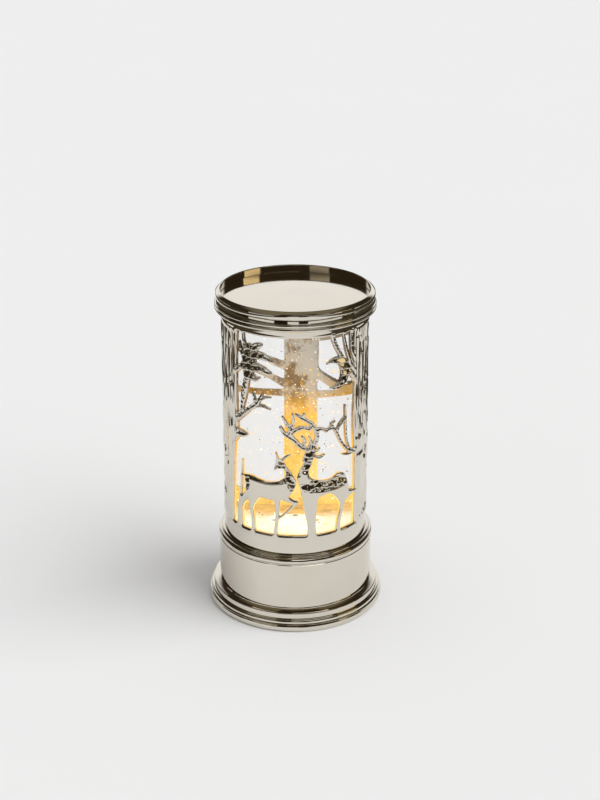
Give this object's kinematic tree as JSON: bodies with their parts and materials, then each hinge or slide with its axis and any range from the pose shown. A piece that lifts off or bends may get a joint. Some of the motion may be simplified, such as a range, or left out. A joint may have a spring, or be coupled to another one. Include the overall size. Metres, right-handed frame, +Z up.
{
  "type": "snow globe lantern",
  "caption": "Snow globe lantern: a lit, water-filled cylinder in a pierced sleeve with trees and deer in relief, on a stepped battery base with a magnetic stirrer and a slide switch.",
  "frame": {"origin": "centre of the underside, on the plane that the foot pads rest on", "axes": "+Z up along the lantern's axis, -Y towards the front, which is the side with the deer, +X to the right seen from the front"},
  "size_m": [0.1228, 0.1228, 0.2273],
  "materials": {
    "plated": "mirror polished, warm nickel plating on a moulding",
    "plated_relief": "polished relief in warm nickel plating",
    "plate_mirror": "flat mirror polish",
    "clear_acrylic": "clear, polished",
    "water": "clear liquid",
    "white_plastic": "moulded, satin",
    "black_plastic": "moulded, fine texture",
    "black_rubber": "moulded",
    "steel": "zinc plated",
    "magnet": "nickel plated",
    "motor_can": "drawn can",
    "circuit_board": "green lacquer",
    "chip_black": "moulded",
    "capacitor_skin": "sleeved can",
    "lamp_lens": "clear dome, warm light",
    "battery_skin": "plain wrapped cell",
    "contact_brass": "stamped sheet",
    "lead_skin": "insulated wire"
  },
  "bodies": {
    "lantern": {"base_casing": "plated", "base_plate": "black_plastic", "base_screws": "steel", "batteries": "battery_skin", "battery_box": "black_plastic", "battery_contacts": "contact_brass", "battery_leads": "lead_skin", "battery_springs": "steel", "capacitor": "capacitor_skin", "chassis": "black_plastic", "chassis_screws": "steel", "collar_ring": "plated", "control_board": "circuit_board", "control_chip": "chip_black", "control_screws": "steel", "filler_plug": "black_rubber", "floor_seal": "black_rubber", "foot_pads": "black_rubber", "impeller_pin": "steel", "lamp_board": "circuit_board", "lamp_leads": "lead_skin", "lamps": "lamp_lens", "lid_seal": "black_rubber", "motor_body": "motor_can", "motor_leads": "lead_skin", "motor_screws": "steel", "reflector": "white_plastic", "scene_sleeve": "plated_relief", "switch_housing": "black_plastic", "switch_terminals": "contact_brass", "tank_floor": "clear_acrylic", "tank_lid": "white_plastic", "tank_wall": "clear_acrylic", "top_plate": "plate_mirror", "top_ring": "plated", "water_fill": "water"},
    "drive": {"motor_shaft": "steel", "drive_rotor": "white_plastic", "drive_magnets": "magnet"},
    "stirrer": {"impeller": "white_plastic", "impeller_magnets": "magnet"},
    "switch": {"switch_slider": "black_plastic"},
    "door": {"battery_door": "black_plastic", "door_screws": "steel"}
  },
  "joints": [
    {"name": "drive_spin", "type": "hinge", "parent": "lantern", "child": "drive", "pos_m": [0, 0, 0.05], "axis": [0, 0, 1], "continuous": true},
    {"name": "stirrer_spin", "type": "hinge", "parent": "lantern", "child": "stirrer", "pos_m": [0, 0, 0.06], "axis": [0, 0, 1], "continuous": true},
    {"name": "switch_slide", "type": "slide", "parent": "lantern", "child": "switch", "axis": [1, 0, 0], "range_m": [-0.0025, 0.0025]},
    {"name": "door_lift", "type": "slide", "parent": "lantern", "child": "door", "axis": [0, 0, -1], "range_m": [0, 0.03]}
  ],
  "couplings": [
    {"joint": "stirrer_spin", "follows": "drive_spin", "ratio": 1}
  ]
}
